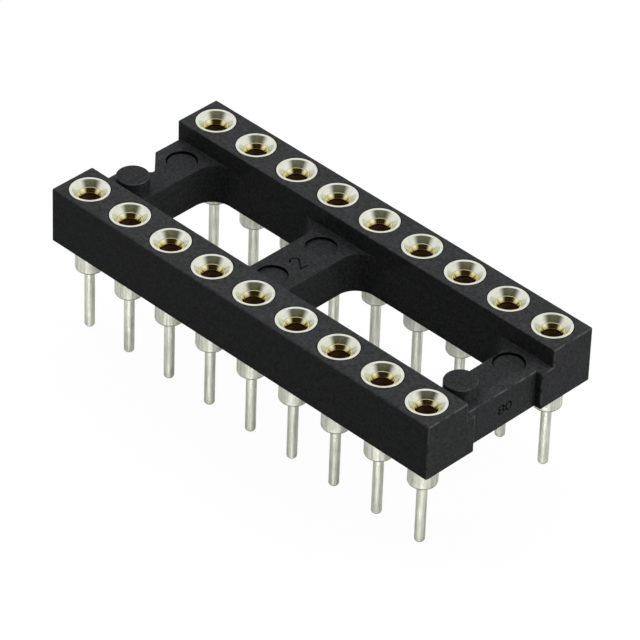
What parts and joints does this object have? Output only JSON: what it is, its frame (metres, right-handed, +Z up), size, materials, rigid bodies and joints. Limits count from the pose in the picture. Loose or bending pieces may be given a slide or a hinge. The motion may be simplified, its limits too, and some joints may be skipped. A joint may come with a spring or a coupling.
{
  "type": "ic socket",
  "caption": "Open-frame dual in-line socket with turned, tin-plated contacts, gold-plated spring clips and solder tails in a black moulded housing.",
  "frame": {"origin": "centre of the contact grid on the seating plane, where the contact shoulders rest on the board", "axes": "+X along the contact rows, away from the notched end; +Y across them, from the row with contact 1 to the other row; +Z up, from the board to the cups"},
  "size_m": [0.0227, 0.01, 0.0074],
  "materials": {
    "housing_plastic": "black glass-filled moulding, satin",
    "tin_plate": "turned brass, satin tin plate",
    "gold_plate": "bright gold plate on spring copper alloy"
  },
  "bodies": {
    "root": {"housing": "housing_plastic", "sleeve_01": "tin_plate", "sleeve_02": "tin_plate", "sleeve_03": "tin_plate", "sleeve_04": "tin_plate", "sleeve_05": "tin_plate", "sleeve_06": "tin_plate", "sleeve_07": "tin_plate", "sleeve_08": "tin_plate", "sleeve_09": "tin_plate", "sleeve_10": "tin_plate", "sleeve_11": "tin_plate", "sleeve_12": "tin_plate", "sleeve_13": "tin_plate", "sleeve_14": "tin_plate", "sleeve_15": "tin_plate", "sleeve_16": "tin_plate", "sleeve_17": "tin_plate", "sleeve_18": "tin_plate", "clip_01": "gold_plate", "clip_02": "gold_plate", "clip_03": "gold_plate", "clip_04": "gold_plate", "clip_05": "gold_plate", "clip_06": "gold_plate", "clip_07": "gold_plate", "clip_08": "gold_plate", "clip_09": "gold_plate", "clip_10": "gold_plate", "clip_11": "gold_plate", "clip_12": "gold_plate", "clip_13": "gold_plate", "clip_14": "gold_plate", "clip_15": "gold_plate", "clip_16": "gold_plate", "clip_17": "gold_plate", "clip_18": "gold_plate"}
  },
  "joints": []
}
